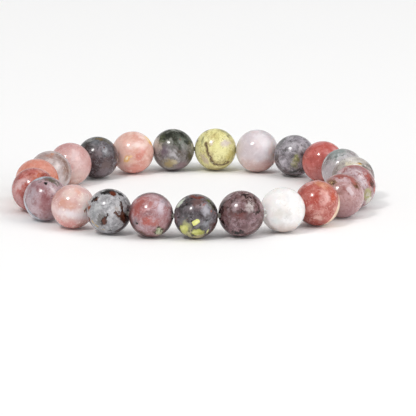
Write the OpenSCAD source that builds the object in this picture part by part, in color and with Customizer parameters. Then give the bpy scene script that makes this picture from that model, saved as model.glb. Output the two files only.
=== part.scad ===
/* [Beads] */
// Diameter of an average bead
bead_d = 8; // [6:0.1:12]
// Diameter of the hole drilled through each bead
bore_d = 1.2; // [1.1:0.1:1.5]
// Width of the bevel where the hole comes out
bevel_w = 0.15; // [0.05:0.05:0.25]
// How much the beads differ in size, as a share of what the table says
size_spread = 1; // [0:0.1:1]

/* [Cord] */
// Diameter of the stretch cord
cord_d = 0.8; // [0.5:0.05:0.8]
// Flat sides round the cord
cord_sides = 12; // [8:1:16]

/* [Loop] */
// Clear space between neighbouring beads
bead_gap = 0.1; // [0.08:0.01:0.4]
// How loosely the loop lies, from a true circle at 0
relax = 1; // [0:0.1:1]
// Direction of the string through the first bead, from +X towards +Y
first_heading = 56; // [-180:1:180]

/* [Hidden] */
$fn = 72;

// Columns of BEADS: colour, diameter as a share of bead_d, length along the hole as a share of its diameter
TINT = 0;
SIZE = 1;
LENGTH = 2;

// One row for each bead, clockwise seen from above
BEADS = [
    ["#d9a79b", 1.00, 0.98],  // soft clear pink
    ["#54494a", 0.99, 0.98],  // charcoal
    ["#d79a83", 1.00, 0.97],  // cloudy salmon
    ["#4f5148", 1.00, 0.98],  // dark green and grey
    ["#a99b45", 1.00, 0.98],  // lime yellow with a brown vein
    ["#d6c3c4", 1.01, 0.98],  // pale lilac
    ["#84787d", 0.98, 0.97],  // grey purple
    ["#c0695c", 0.98, 0.98],  // clear coral red
    ["#aaa99b", 0.98, 0.98],  // pale grey green
    ["#6a6150", 0.99, 0.98],  // dark olive
    ["#a78389", 1.00, 0.97],  // mauve with a red band
    ["#a9766f", 1.00, 0.98],  // dusty rose
    ["#cf7a69", 1.02, 0.98],  // coral with a cream rim
    ["#ddd8d2", 1.00, 0.98],  // milky white
    ["#5d4a50", 1.02, 0.98],  // plum
    ["#6b6455", 0.98, 0.97],  // charcoal with lime patches
    ["#a27c7c", 0.99, 0.98],  // mauve with brick patches
    ["#a8a19b", 1.00, 0.93],  // granite grey
    ["#dcb5a5", 0.98, 0.98],  // pale peach
    ["#9b8b8e", 1.00, 0.98],  // grey mauve
    ["#b9645a", 1.00, 0.97],  // brick red
    ["#d98a64", 1.00, 0.98],  // salmon orange
    ["#8f8582", 0.99, 0.98]   // taupe
];

// Columns of WAVES: how many waves go round the loop, how far each swings the string, and where it starts
ORDER = 0;
SWING = 1;
START = 2;

// Slow waves, in degrees, that take the resting loop away from a true circle
WAVES = [
    [2, 2.0, -10],
    [3, 2.5, -5],
    [4, 1.5, 80],
    [5, 2.5, 90]
];

count = len(BEADS);
turn = 360 / count;

function bead_name(i) = str("bead_", i < 9 ? "0" : "", i + 1);

function sum(v) = [for (x = v) 1] * v;
function unit(v) = v / norm(v);

// Direction of the string through one bead, and how far it bends on the way in
function wave(w, i) = w[SWING] * sin(w[ORDER] * turn * i + w[START]);
function heading(i) = first_heading - turn * i + relax * sum([for (w = WAVES) wave(w, i)]);
function bend(i) = heading(i - 1) - heading(i);

// Size of one bead, and the string from its middle to a bend that both neighbours have to clear
function diameter(i) = bead_d * (1 + size_spread * (BEADS[i][SIZE] - 1));
function bead_length(i) = diameter(i) * BEADS[i][LENGTH];
function rim_angle(i) = acos(BEADS[i][LENGTH]);
function reach(i, bend) = diameter(i) / 2 * cos(max(rim_angle(i) - bend / 2, 0));
function run(i, bend) = (reach(i, bend) + bead_gap / 2) / cos(bend / 2);
function run_in(i) = run(i, bend(i));
function run_out(i) = run(i, bend(i + 1));

// One link of string for each bead, with the small closing error of the loop shared out among them
open_links = [
    for (i = [0 : count - 1]) (run_in(i) + run_out(i)) * [cos(heading(i)), sin(heading(i))]
];
closing_share = sum(open_links) / count;
links = [for (link = open_links) link - closing_share];
bends = [for (i = 0, at = [0, 0]; i < count; at = at + links[i], i = i + 1) at];
middles = [for (i = [0 : count - 1]) bends[i] + links[i] * run_in(i) / (run_in(i) + run_out(i))];

// The part stands on the middle of its own outline
low = [for (axis = [0, 1]) min([for (i = [0 : count - 1]) middles[i][axis] - diameter(i) / 2])];
high = [for (axis = [0, 1]) max([for (i = [0 : count - 1]) middles[i][axis] + diameter(i) / 2])];
origin = (low + high) / 2;

function link_angle(i) = atan2(links[i][1], links[i][0]);

// Half the outline of a bead across its hole: a round back, ground ends, and a bevel at each mouth
module bead_half(d, length) {
    bore = bore_d / 2;
    mouth = bore + bevel_w;
    end = length / 2;
    intersection() {
        circle(d = d);
        polygon([
            [bore, bevel_w - end], [bore, end - bevel_w], [mouth, end],
            [d, end], [d, -end], [mouth, -end]
        ]);
    }
}

// A drilled bead that stands on the ground, its hole along the string
module bead(i) {
    place = middles[i] - origin;
    color(BEADS[i][TINT])
        translate([place[0], place[1], diameter(i) / 2])
        rotate([0, 90, link_angle(i)])
        rotate_extrude() bead_half(diameter(i), bead_length(i));
}

// The skin of the cord has one ring at each bend, which halves the angle there
function along(i) = unit(unit(links[(i + count - 1) % count]) + unit(links[i]));
function ring_width(i) = cord_d / (along(i) * unit(links[i]));
function ring_point(i, angle) =
    let (out = ring_width(i) / 2 * cos(angle), at = bends[i] - origin)
    [at[0] - along(i)[1] * out, at[1] + along(i)[0] * out, (bead_d + cord_d * sin(angle)) / 2];
function skin_face(i, side) =
    let (next = (i + 1) % count, after = (side + 1) % cord_sides)
    [for (corner = [[i, side], [i, after], [next, after], [next, side]]) corner * [cord_sides, 1]];

module elastic_cord() {
    color("#e9e6df") polyhedron(
        points = [for (i = [0 : count - 1], s = [0 : cord_sides - 1]) ring_point(i, 360 * s / cord_sides)],
        faces = [for (i = [0 : count - 1], s = [0 : cord_sides - 1]) skin_face(i, s)]
    );
}

for (i = [0 : count - 1]) bead(i);
elastic_cord();
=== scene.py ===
import math

import bmesh
import bpy
from mathutils import Euler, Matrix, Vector


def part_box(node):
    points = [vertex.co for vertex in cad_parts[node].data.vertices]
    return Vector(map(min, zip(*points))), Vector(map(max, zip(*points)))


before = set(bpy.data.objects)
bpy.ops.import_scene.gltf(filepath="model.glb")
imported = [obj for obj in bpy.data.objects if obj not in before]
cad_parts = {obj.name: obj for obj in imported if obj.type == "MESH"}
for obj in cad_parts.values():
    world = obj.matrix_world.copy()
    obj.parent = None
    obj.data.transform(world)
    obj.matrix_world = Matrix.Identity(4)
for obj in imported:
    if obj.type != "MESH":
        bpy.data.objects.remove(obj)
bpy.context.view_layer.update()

# Camera, in metres, aimed a little past the middle of the bracelet as in the photo
ELEVATION = math.radians(11.9)
CAMERA_DISTANCE = 0.6893
CAMERA_LENS = 325.3
SENSOR_WIDTH = 36
CLIP_START = 0.01
CLIP_END = 20
LOOK_PAST = (0.002472, -0.004935)
MIDDLE = Vector((0, 0, 0.004))

# The camera's directions in the part's frame
RIGHT = Vector((1, 0, 0))
NEAR = Vector((0, -math.cos(ELEVATION), math.sin(ELEVATION)))
UP = NEAR.cross(RIGHT)

# Floor
FLOOR_HALF = 2.5
FLOOR_TONE = (0.96, 0.96, 0.962, 1)
FLOOR_ROUGHNESS = 0.8
FLOOR_SPECULAR = 0.1
CORNERS = ((-1, -1), (1, -1), (1, 1), (-1, 1))

# Pale surroundings, from the front of the room to its back and from the floor up
FRONT_LIGHT = 0.80
BACK_LIGHT = 0.70
FRONT_BACK_REACH = 0.7
TOP_SHARE = 0.40
TOP_START = 0.12
TOP_END = 0.62

# Lamps: where they stand in the camera's directions, metres away, metres across, watts
LAMP_FROM = (-0.40, 0.65, 0.65)
LAMP_DISTANCE = 1.8
LAMP_SIZE = (0.38, 0.38)
LAMP_POWER = 9.0
LAMP_CORE = (0.32, 0.32)
LAMP_CORE_POWER = 7.0
LAMP_TONE = "#fffdfa"
SOFTBOX_FROM = (0.725, 0.483, 0.49)
SOFTBOX_DISTANCE = 1.2
SOFTBOX_SIZE = (0.42, 0.84)
SOFTBOX_POWER = 2.8
SOFTBOX_EDGE = (0.74, 1.24)
SOFTBOX_EDGE_POWER = 3.6
FILL_HEIGHT = 1.6
FILL_SIZE = (2.4, 2.4)
FILL_POWER = 11.5
WHITE = "#ffffff"

# Polish of the stones. Relief is in metres, and light reaches in by red, green and blue
QUARTZ_IOR = 1.54
BASE_ROUGHNESS = 0.12
WEAR = 0.06
WEAR_SCALE = 5.0
SWELL_SCALE = 2.5
RELIEF = 0.001
PIT_DEPTH = 0.006
PIT_DULLNESS = 0.12
SPECULAR_LEVEL = 0.42
COAT_ROUGHNESS = 0.03
REACH_OF_LIGHT = (1.0, 0.62, 0.5)

# Noise: how far apart its seeds are, its middle level, and its scales where it makes edges ragged
SEED_OF_BEAD = 10.0
SEED_STEP = 1.7
NOISE_MIDDLE = 0.5
WARP_SCALE = 4.5
VEIN_WARP_SCALE = 4.0
SPECK_WARP_SCALE = 6.0
STREAK_WARP_SCALE = 2.0
STREAK_RAGGED = 0.35

# Layers of paint. A pair is where a colour starts and where it is full
SPOT_DEPTH = 0.6
DARK_BLOTCH = (0.51, 0.59)
LIGHT_BLOTCH = (0.52, 0.61)
LIGHT_BLOTCH_SCALE = 1.3
SPECK_LEAST = 0.35
SPECK_SPREAD = 0.9
SPECK_EDGE = (1.0, 0.5)
GRAIN_RANGE = (0.3, 0.7)
OUT_OF_REACH = 9.0

# A painted glow: the milky stone gives off light of its own at its left and in its bore, and the cord
# beside it too, in place of light that has come through the stone
LIT_SIDE = (-1, 0, 0.3)
LIT_EDGE = (0.35, 0.95)
STONE_GLOW = 0.14
BORE_GLOW = 0.2
BORE_EDGE = (0.24, 0.17)
CORD_GLOW = 0.22
CORD_GLOW_END = 0.0046
CORD_GLOW_START = 0.0042

# Cord
CORD_DARK = "#6f6a64"
CORD_LIGHT = "#a39d95"
CORD_FIBRE_SCALE = 9000
CORD_RELIEF = 0.00003
CORD_ROUGHNESS = 0.45

# Sockets of the Mix node that take and give colours
MIX_BELOW = 6
MIX_ABOVE = 7
MIX_RESULT = 2


def in_view(x, y, z):
    """A direction given to the right, up and towards the camera, as a direction in the part's frame."""
    return RIGHT * x + UP * y + NEAR * z


def middle(number):
    """The middle of a bead, from its number."""
    low, high = (Vector(corner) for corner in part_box(f"bead_{number:02d}"))
    return (low + high) / 2


def near_point(x, y):
    """The point that the camera sees at x, y on a ball of radius 1."""
    return Vector((x, y, math.sqrt(max(1 - x * x - y * y, 0))))


def linear(colour):
    """A colour written as six hex digits, as linear light by the sRGB curve."""
    parts = [int(colour[i:i + 2], 16) / 255 for i in (1, 3, 5)]
    light = [c / 12.92 if c <= 0.04045 else ((c + 0.055) / 1.055) ** 2.4 for c in parts]
    return (*light, 1.0)


def feed(tree, socket, value):
    """Links an output to a socket, or sets the socket to a plain value."""
    if isinstance(value, bpy.types.NodeSocket):
        tree.links.new(value, socket)
    else:
        socket.default_value = value


def feed_all(tree, node, **inputs):
    """Feeds sockets by name, with _ where Blender's name has a space."""
    for key, value in inputs.items():
        feed(tree, node.inputs[key.replace("_", " ")], value)


def add(tree, kind, settings=None, **inputs):
    """A new shader node with its settings and inputs."""
    node = tree.nodes.new("ShaderNode" + kind)
    for key, value in (settings or {}).items():
        setattr(node, key, value)
    feed_all(tree, node, **inputs)
    return node


def work_out(tree, kind, operation, *values, **settings):
    """A new node that does an operation on the values."""
    node = add(tree, kind, {"operation": operation, **settings})
    for socket, value in zip(node.inputs, values):
        feed(tree, socket, value)
    return node


class Stone:
    """The skin of one polished bead, painted layer on layer.

    Places and sizes are given on a ball of radius 1 as the camera at rest sees it: x to the right,
    y up and z towards it. Angles are in degrees. Strengths and masks run from 0 to 1.
    """

    def __init__(self, name, colour):
        self.name = name
        self.number = int(name[-2:])
        self.colour = linear(colour)
        self.seed = SEED_OF_BEAD * self.number
        self.height = 0.0
        self.dull = 0.0
        self.glow = 0.0
        self.warps = {}
        self.material = bpy.data.materials.new(name + "_stone")
        self.material.use_nodes = True
        self.tree = self.material.node_tree
        self.tree.nodes.clear()
        self.turn = Euler((ELEVATION - math.pi / 2, 0, 0))
        self.place = self.unit_ball()

    def unit_ball(self):
        """Coordinates that make a ball of radius 1 of the bead, turned as the camera sees it."""
        low, high = (Vector(corner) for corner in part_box(self.name))
        scale = 2 / (high.z - low.z)
        return self.add(
            "Mapping", Vector=self.add("TexCoord").outputs["Object"],
            Location=-(self.turn.to_matrix() @ (low + high)) * scale / 2, Rotation=self.turn,
            Scale=[scale] * 3).outputs[0]

    def add(self, kind, settings=None, **inputs):
        return add(self.tree, kind, settings, **inputs)

    def maths(self, operation, *values, clamp=False):
        return work_out(self.tree, "Math", operation, *values, use_clamp=clamp).outputs[0]

    def vector(self, operation, *values):
        return work_out(self.tree, "VectorMath", operation, *values).outputs["Vector"]

    def measure(self, operation, *values):
        """A number worked out from vectors."""
        return work_out(self.tree, "VectorMath", operation, *values).outputs["Value"]

    def scaled(self, vector, scale):
        node = work_out(self.tree, "VectorMath", "SCALE", vector)
        feed_all(self.tree, node, Scale=scale)
        return node.outputs["Vector"]

    def fade(self, value, low, high):
        """0 at low, 1 at high, and smooth between them."""
        smooth = {"interpolation_type": "SMOOTHSTEP"}
        return self.add("MapRange", smooth, Value=value, From_Min=low, From_Max=high).outputs[0]

    def noise(self, scale, detail, rough, twist=0.0, at=None, output=0):
        """Noise of its own seed."""
        self.seed += SEED_STEP
        return self.add(
            "TexNoise", {"noise_dimensions": "4D"}, Vector=at or self.place, W=self.seed,
            Scale=scale, Detail=detail, Roughness=rough, Distortion=twist).outputs[output]

    def warped(self, ragged, scale=WARP_SCALE):
        """The place, pushed about by noise so that an edge laid there comes out ragged."""
        if not ragged:
            return self.place
        if (ragged, scale) not in self.warps:
            noise = self.noise(scale, detail=5, rough=0.6, output="Color")
            push = self.vector("SUBTRACT", noise, [NOISE_MIDDLE] * 3)
            self.warps[ragged, scale] = self.vector("ADD", self.place, self.scaled(push, ragged))
        return self.warps[ragged, scale]

    def mix(self, mask, colour, strength, where=None):
        """Lays a colour over the paint so far, as much as the mask says, and only within where."""
        if strength != 1:
            mask = self.maths("MULTIPLY", mask, strength)
        if where is not None:
            mask = self.maths("MULTIPLY", mask, where)
        node = self.add("Mix", {"data_type": "RGBA"}, Factor=mask)
        feed(self.tree, node.inputs[MIX_BELOW], self.colour)
        feed(self.tree, node.inputs[MIX_ABOVE], linear(colour))
        self.colour = node.outputs[MIX_RESULT]
        return mask

    def zone(self, x, y, z, low, high, ragged=0.3):
        """A mask for the side that faces x, y, z: none where the cosine is low, all where it is high."""
        facing = Vector((x, y, z)).normalized()
        return self.fade(self.measure("DOT_PRODUCT", self.warped(ragged), facing), low, high)

    def side(self, colour, x, y, z, low, high, strength, ragged=0.3):
        """A colour on the side that faces x, y, z."""
        return self.mix(self.zone(x, y, z, low, high, ragged), colour, strength)

    def spot(self, colour, x, y, size, stretch, angle, strength=0.8, ragged=0.8, soft=0.8, boxy=False,
             behind=False):
        """A patch at x, y. Its half width is size, times stretch along the angle.

        Noise pushes its edge about as far as ragged, and it fades over soft as a share of its size.
        """
        place = near_point(x, y)
        if behind:
            place.z = -place.z
        far = self.add(
            "Mapping", {"vector_type": "TEXTURE"}, Vector=self.warped(ragged), Location=place,
            Rotation=(0, 0, math.radians(angle)), Scale=(size * stretch, size, SPOT_DEPTH)).outputs[0]
        if boxy:
            far = self.vector("MULTIPLY", far, far)
        return self.mix(self.fade(self.measure("LENGTH", far), 1 + soft, 1 - soft), colour, strength)

    def back(self, *layout):
        """A spot on the far side."""
        return self.spot(*layout, behind=True)

    def cloud(self, colour, scale, low, high, strength, detail=5, twist=0.0):
        """A colour wherever the noise is high."""
        mask = self.fade(self.noise(scale, detail, rough=0.58, twist=twist), low, high)
        return self.mix(mask, colour, strength)

    def mottle(self, dark, light, scale, strength):
        """Dark and light blotches with ragged edges."""
        self.cloud(dark, scale, *DARK_BLOTCH, strength, twist=0.7)
        self.cloud(light, scale * LIGHT_BLOTCH_SCALE, *LIGHT_BLOTCH, strength, twist=0.5)

    def streaks(self, colour, angle, scale, stretch, low, high, strength, where=None):
        """As cloud, but drawn out along a direction, in degrees from x towards y."""
        turned = self.add(
            "Mapping", {"vector_type": "TEXTURE"}, Rotation=(0, 0, math.radians(angle)),
            Vector=self.warped(STREAK_RAGGED, STREAK_WARP_SCALE), Scale=(stretch, 1, 1))
        noise = self.noise(scale, detail=5, rough=0.6, twist=0.6, at=turned.outputs[0])
        return self.mix(self.fade(noise, low, high), colour, strength, where)

    def threads(self, colour, scale, width, strength, where=None):
        """Thin wandering lines, where the noise crosses its middle."""
        noise = self.noise(scale, detail=4, rough=0.5, twist=0.6)
        far = self.maths("ABSOLUTE", self.maths("SUBTRACT", noise, NOISE_MIDDLE))
        return self.mix(self.fade(far, width, 0), colour, strength, where)

    def vein(self, colour, points, width, strength, ragged, soft):
        """A line through the points, which are on the side that faces the camera."""
        where = self.warped(ragged, VEIN_WARP_SCALE)
        nearest = OUT_OF_REACH
        ends = [near_point(x, y) for x, y in points]
        for start, end in zip(ends, ends[1:]):
            run = end - start
            away = self.vector("SUBTRACT", where, start)
            share = self.measure("DOT_PRODUCT", away, run / run.length_squared)
            within = self.maths("ADD", share, 0, clamp=True)
            far = self.measure("DISTANCE", away, self.scaled(run, within))
            nearest = self.maths("MINIMUM", nearest, far)
        return self.mix(self.fade(nearest, width * (1 + soft), width * (1 - soft)), colour, strength)

    def specks(self, colour, scale, size, share, strength, ragged=0.2, where=None):
        """Small grains of mixed sizes, on this share of the places where they could be."""
        cells = self.add("TexVoronoi", Vector=self.warped(ragged, SPECK_WARP_SCALE), Scale=scale)
        dice = self.add("SeparateColor", Color=cells.outputs["Color"])
        reach = self.maths("MULTIPLY_ADD", dice.outputs[1], SPECK_SPREAD * size, SPECK_LEAST * size)
        near = self.fade(self.maths("DIVIDE", cells.outputs["Distance"], reach), *SPECK_EDGE)
        kept = self.maths("LESS_THAN", dice.outputs[0], share)
        return self.mix(self.maths("MULTIPLY", near, kept), colour, strength, where)

    def grain(self, amount, scale=12.0):
        """Fine light and dark grain."""
        low, high = GRAIN_RANGE
        level = self.add(
            "MapRange", Value=self.noise(scale, detail=3, rough=0.7), From_Min=low, From_Max=high,
            To_Min=1 - amount, To_Max=1 + amount)
        self.colour = self.scaled(self.colour, level.outputs[0])

    def pit(self, mask):
        """Lets the marked places sit lower and take less polish."""
        self.height = self.maths("SUBTRACT", self.height, self.maths("MULTIPLY", mask, PIT_DEPTH))
        self.dull = self.maths("ADD", self.dull, self.maths("MULTIPLY", mask, PIT_DULLNESS))

    def paint_glow_through(self):
        """Paints a glow of the stone's own at its left and in its bore, in place of light that has come
        through a clear stone.
        """
        self.glow = self.maths("MULTIPLY", self.zone(*LIT_SIDE, *LIT_EDGE), STONE_GLOW)
        before, after = (middle((self.number + step) % len(STONES) + 1) for step in (-2, 0))
        axis = self.turn.to_matrix() @ (after - before).normalized()
        bore = self.fade(self.measure("LENGTH", self.vector("CROSS_PRODUCT", self.place, axis)), *BORE_EDGE)
        self.glow = self.maths("MULTIPLY_ADD", bore, BORE_GLOW, self.glow)

    def finish(self, clear=0.0, depth=0.0012, rougher=0.0, swell=0.010, coat=0.0):
        """Puts the paint under the polish. clear is how much light goes in, depth how far, in metres."""
        wear = self.maths("MULTIPLY", self.noise(WEAR_SCALE, detail=4, rough=0.6), WEAR)
        rough = self.maths("ADD", self.maths("ADD", wear, BASE_ROUGHNESS + rougher), self.dull)
        waves = self.maths("MULTIPLY", self.noise(SWELL_SCALE, detail=3, rough=0.5), swell)
        bump = self.add(
            "Bump", Height=self.maths("ADD", waves, self.height), Strength=1.0, Distance=RELIEF)
        # Emission Strength carries the painted glow, on the stones that have one
        shader = self.add(
            "BsdfPrincipled", Base_Color=self.colour, Roughness=rough, Normal=bump.outputs[0],
            IOR=QUARTZ_IOR, Specular_IOR_Level=SPECULAR_LEVEL, Subsurface_Weight=clear,
            Subsurface_Radius=REACH_OF_LIGHT, Subsurface_Scale=depth, Emission_Strength=self.glow,
            Coat_Weight=coat, Coat_Roughness=COAT_ROUGHNESS)
        self.add("OutputMaterial", Surface=shader.outputs[0])
        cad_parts[self.name].material_slots[0].material = self.material


# Lines on the side of a bead that faces the camera. Along the rims of granite, plum, charcoal, brick, taupe
# and grey mauve the darker paint is partly painted shade and reflection of the neighbours
VEIN_OF_LIME = [
    (-.43, .27), (-.42, 0), (-.33, -.27), (-.21, -.54),
    (-.03, -.72), (.24, -.76), (.6, -.64),
]
UPPER_VEIN_OF_LIME = [(-.43, .27), (-.24, .57), (.09, .8), (.42, .75), (.66, .54), (.74, .34)]
SWIRL_OF_PLUM = [(.16, .72), (.46, .66), (.68, .42), (.76, .16), (.62, -.02)]
INNER_SWIRL_OF_PLUM = [(.1, .52), (.36, .54), (.56, .32), (.58, .08)]
CRACK_OF_GRANITE = [(.52, .4), (.58, .12), (.62, -.1), (.74, -.4)]
RIM_OF_GRANITE = [(.96, -.06), (.84, -.4), (.65, -.67), (.4, -.85)]
HOOK_OF_GRANITE = [(.27, -.08), (.42, -.2), (.62, -.16)]
RIM_OF_OLIVE = [(.74, .62), (.84, .44), (.91, .24), (.94, 0)]
RIM_OF_BANDED = [(.6, .78), (.8, .58), (.96, .2), (.985, -.1), (.93, -.33)]
GOLD_OF_GRANITE = [(-.74, -.42), (-.5, -.66), (-.18, -.83)]
RIM_OF_PLUM = [(.96, -.05), (.85, -.4), (.62, -.7), (.28, -.9)]
RIM_OF_CHARCOAL = [(.96, .1), (.93, -.22), (.8, -.49), (.58, -.72)]
RIM_OF_BRICK = [(-.91, .26), (-.94, -.05), (-.88, -.35), (-.72, -.62), (-.46, -.83)]
TOP_OF_BRICK = [(-.46, .86), (-.2, .96), (.1, .97), (.36, .9), (.66, .7)]
TOP_OF_BANDED = [(-.36, .9), (.02, .98), (.36, .91), (.56, .8)]
RIM_OF_TAUPE = [(.38, .77), (.52, .67), (.72, .46), (.84, .08), (.82, -.24)]
RIM_OF_GREY_MAUVE = [(-.95, .2), (-.9, -.08), (-.82, -.36), (-.66, -.62), (-.4, -.82)]


# The stones, in the order of the string
def clear_pink(name):
    s = Stone(name, "#cea6a3")
    s.cloud("#dcb9b6", 1.8, .44, .6, .85)
    s.side("#bd8a8a", -.3, 1, .1, .5, 1, .8, .7)
    s.side("#b67f7d", .1, 1, -.1, .86, 1, .75, .2)
    s.spot("#e8d2d2", .18, .38, .2, 1.5, 60, .7, .8, .9)
    s.spot("#d9b3a4", .25, -.8, .28, 1.6, 20, .8, .4)
    s.spot("#e6cfca", .27, -.5, .22, 1.5, 20, .7, .4, .9)
    s.spot("#c08c89", .58, .7, .14, 2, -45, .6, .4, .9)
    s.side("#bb8582", 1, -.1, .1, .84, 1, .75)
    s.back("#e0baa4", -.4, .2, .6, 1.3, 30, .6, .5)
    s.streaks("#eed9d6", 30, 2.6, 1.8, .54, .66, .5)
    s.cloud("#b47c78", 3.4, .56, .68, .35)
    s.threads("#e9cfcb", 3, .01, .4)
    s.grain(.05, 14)
    s.finish(clear=.5, depth=.0014)


def charcoal(name):
    s = Stone(name, "#544a4e")
    s.mottle("#362c2d", "#6b6468", 2.2, .8)
    s.side("#3c2829", -.1, -1, .3, 0, .5, .9, .8)
    s.side("#434746", -.3, 1, .2, .45, .9, .8, .8)
    s.mottle("#261d1e", "#8b878d", 4.6, .35)
    s.threads("#8d8a90", 3.2, .012, .4)
    # Partly the stone's blue-grey, partly a painted reflection of the window at the right
    s.spot("#86878d", .42, .36, .18, 1.4, 55, .75, .9)
    s.spot("#75767b", -.06, .66, .12, 1.5, 20, .7, .9)
    s.spot("#75613f", .12, .88, .06, 2.6, -8, .9, .6, .6)
    s.spot("#5e5a3c", .48, .76, .06, 2.2, -35, .75, .6, .7)
    s.spot("#33221f", -.55, .4, .13, 1.8, 60, .7, .8, .6)
    s.spot("#8b7f82", .09, .24, .11, 1.6, -25, .7)
    s.spot("#6f5d5c", .42, -.38, .2, 1.5, 60, .75, .8, .7)
    s.spot("#7a6d72", .32, -.72, .16, 1.9, 20)
    s.spot("#463a3c", .86, .09, .07, 3.2, 84, .7, .5, .7)
    # Painted reflection of the window: its lighter core
    s.spot("#a3a3a8", .4, .34, .07, 1.6, 40, .7, .9)
    s.spot("#9a949a", .16, .5, .12, 1.6, 60, .7)
    s.spot("#918a8e", -.18, .45, .11, 1.6, 40, .6)
    s.spot("#74686a", -.28, -.05, .13, 1.6, 60, .6)
    s.spot("#504c4c", .5, .6, .09, 1.8, -30, .6)
    # Painted shade and reflection of the neighbours along the lower-left rim, and a darker upper-right rim,
    # a painted reflection of darker surroundings
    s.side("#2a1512", -.45, -.85, .1, .84, .99, .85, .4)
    s.side("#3a3636", .6, .8, -.1, .88, 1, .7)
    s.spot("#8f8f8f", -.32, .84, .09, 2.4, 20, .85, .9)
    s.specks("#80473a", 6, .34, .12, .75)
    s.specks("#1c1414", 6, .4, .2, .7)
    s.specks("#a9a6ab", 7, .3, .08, .5)
    s.grain(.08)
    s.finish()


def cloudy_salmon(name):
    s = Stone(name, "#dca99b")
    s.cloud("#ebcbc0", 1.8, .44, .62, .85, twist=.6)
    s.cloud("#d39488", 2.4, .52, .68, .5)
    s.side("#d48b7f", -.1, -1, .2, .4, 1, .85, .6)
    s.spot("#cf9c8e", -.14, .68, .14, 2, 10, .6, .5, .9)
    s.spot("#eed8d0", -.66, .25, .14, 2, 68, .7, .4, .9)
    # Painted highlight: a pale band drawn out from the lamp's highlight
    s.spot("#f8e8e2", .16, .33, .13, 3, 10, .8, .5, .9)
    s.spot("#f3dad2", .44, .8, .1, 2.8, -26, .8, .5, .9)
    # Partly the stone's cream, partly a painted reflection of the window at the right
    s.spot("#f2d3cc", .5, .14, .12, 1.6, 60, .7, .6, .9)
    s.spot("#cf7567", .37, -.22, .17, 1.6, 65, .8, .7, .9)
    s.spot("#eccbb6", -.18, -.46, .13, 1.9, 10, .7, .5, .9)
    s.spot("#b97a6d", .86, -.34, .08, 2.8, -68, .6, .5, .9)
    # Painted light: the lower left and the left third lighter, against the shade of the neighbouring bead
    s.spot("#ebbfb0", -.58, -.34, .26, 1.5, 100, .8, .5, .9)
    s.side("#f3cdc2", -1, -.1, .5, .35, .85, .6, .9)
    s.spot("#f1bb5a", -.26, -.33, .13, 1.4, 60, .95, .4, .5)
    s.spot("#fff4da", -.28, -.27, .055, 1.7, 60, .92, .3, .6)
    s.spot("#f2d29a", -.1, -.2, .06, 1.6, 20, .7, .4)
    s.spot("#f0b55f", .77, .56, .065, 4.4, -54, .97, .2, .5)
    s.spot("#fbe8c4", .7, .61, .028, 5, -52, .85, .2, .6)
    s.back("#edb562", -.3, .3, .3, 1.6, 20, .7, .8, .7)
    s.streaks("#f7e6de", 25, 3.4, 2, .55, .68, .5)
    s.threads("#f3dcd2", 2.6, .01, .45)
    s.threads("#c47a6d", 2.8, .008, .35)
    s.grain(.05)
    s.finish(clear=.35, depth=.001)


def dark_green_grey(name):
    s = Stone(name, "#837d7b")
    s.mottle("#5d5957", "#a7a3a4", 2.2, .65)
    s.side("#454a3b", .15, 1, .25, .36, .64, .94, .8)
    s.mottle("#42403a", "#aaa7a8", 4.6, .28)
    s.threads("#2c2d25", 3, .01, .5)
    s.spot("#1d2016", -.28, .68, .15, 2.6, 22, .94, .7, .7)
    s.spot("#1f2218", .36, .72, .13, 2.4, -30, .92, .7, .7)
    s.spot("#5c6247", -.6, .4, .15, 1.9, 62, .88, .7, .7)
    s.spot("#6f756b", .46, .4, .14, 2.2, -50, .7)
    s.spot("#3b3426", .77, -.39, .14, 2.4, -66, .9, .6, .6)
    s.spot("#33362a", .28, .14, .09, 3, -48, .85, .7, .7)
    s.spot("#6b5d6a", -.38, -.04, .2, 1.3, 70, .85, .6)
    s.spot("#bdbabd", .04, -.22, .15, 1.8, -42, .9, .7)
    s.spot("#54493f", .33, -.18, .11, 1.8, -50, .85, .7)
    # Painted highlight: lighter round the lamp's highlight
    s.spot("#96968f", -.2, .36, .11, 1.5, 30, .7, .7)
    s.spot("#62645c", .55, .14, .1, 1.9, -60, .7, .6)
    s.spot("#9f8e60", -.21, -.66, .19, 1.4, 8, .92, .6, .7)
    s.spot("#c2b593", .05, -.58, .1, 1.5, 0, .8, .6)
    s.spot("#7d6268", .42, -.74, .15, 2, 28, .85, .6)
    s.spot("#cbc4bd", -.84, .3, .12, 2.8, 72, .9, .4)
    s.spot("#b5aea8", -.68, .13, .09, 2, 80, .8, .6)
    s.spot("#62625f", -.09, .1, .1, 1.6, 20, .75, .7)
    s.spot("#2b2b22", .02, .56, .12, 2, 0, .8, .7, .7)
    s.spot("#a39f92", .91, .2, .05, 2.8, 78, .8, .4, .7)
    s.spot("#95968f", .12, .92, .06, 4, -6, .8, .4)
    # Painted shade: darker along the bottom rim
    s.side("#4c3c42", .1, -1, 0, .88, 1, .88, .4)
    s.back("#b9b4b6", .3, 0, .16, 2.4, 40, .8, .9)
    s.back("#8f8255", -.4, -.3, .2, 1.5, -30, .8, .9, .7)
    upper = s.zone(.2, 1, .3, .2, .55)
    s.streaks("#171b12", -50, 3, 2.2, .53, .59, .75, where=upper)
    s.streaks("#7d8476", -50, 3.6, 2.4, .59, .66, .5, where=upper)
    s.specks("#6b3a33", 6, .32, .1, .7)
    s.grain(.07)
    s.finish()


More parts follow.
